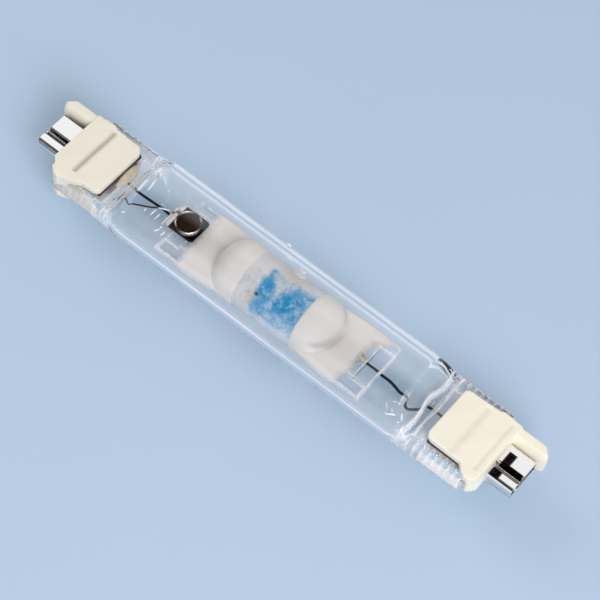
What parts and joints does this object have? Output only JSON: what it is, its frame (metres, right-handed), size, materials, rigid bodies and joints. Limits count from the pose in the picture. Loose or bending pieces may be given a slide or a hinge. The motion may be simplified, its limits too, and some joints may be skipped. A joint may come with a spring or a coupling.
{
  "type": "double-ended metal halide lamp",
  "caption": "Double-ended metal halide lamp: clear quartz tube with pinched ends, coated quartz burner, getter, ceramic caps and flat nickel contacts.",
  "frame": {"origin": "on the tube's axis, halfway between the two ends", "axes": "+X along the lamp, +Y towards the side with both locating fingers, +Z out of the flat pinch seals on the side with the getter"},
  "size_m": [0.162, 0.026, 0.0254],
  "materials": {
    "quartz": "clear fused quartz, fire-polished",
    "zirconia_coat": "matt white heat-reflecting coat, soft-edged",
    "tungsten": "drawn tungsten",
    "molybdenum_foil": "thin rolled foil sealed in quartz",
    "molybdenum_wire": "drawn wire",
    "oxidised_molybdenum": "drawn wire with a dark blue-black oxide",
    "getter_steel": "pressed nickel-plated iron, darkened by heat",
    "getter_powder": "dark sintered powder",
    "steatite": "dry-pressed cream steatite, satin",
    "cement": "tan ceramic cement, rough",
    "nickel": "bright rolled nickel strip",
    "halide_salt": "yellow-brown condensed salt"
  },
  "bodies": {
    "root": {"outer_envelope": "quartz", "arc_tube": "quartz", "reflector_coat_left": "zirconia_coat", "reflector_coat_right": "zirconia_coat", "electrode_left": "tungsten", "electrode_right": "tungsten", "electrode_coil_left": "tungsten", "electrode_coil_right": "tungsten", "burner_foil_left": "molybdenum_foil", "burner_foil_right": "molybdenum_foil", "burner_lead_left": "oxidised_molybdenum", "burner_lead_right": "oxidised_molybdenum", "getter_support_wire": "oxidised_molybdenum", "getter_plate": "getter_steel", "getter_cup": "getter_steel", "getter_fill": "getter_powder", "press_foil_left": "molybdenum_foil", "press_foil_right": "molybdenum_foil", "contact_lead_left": "molybdenum_wire", "contact_lead_right": "molybdenum_wire", "cap_left": "steatite", "cap_right": "steatite", "cement_left": "cement", "cement_right": "cement", "contact_left": "nickel", "contact_right": "nickel", "halide_dose": "halide_salt"}
  },
  "joints": []
}
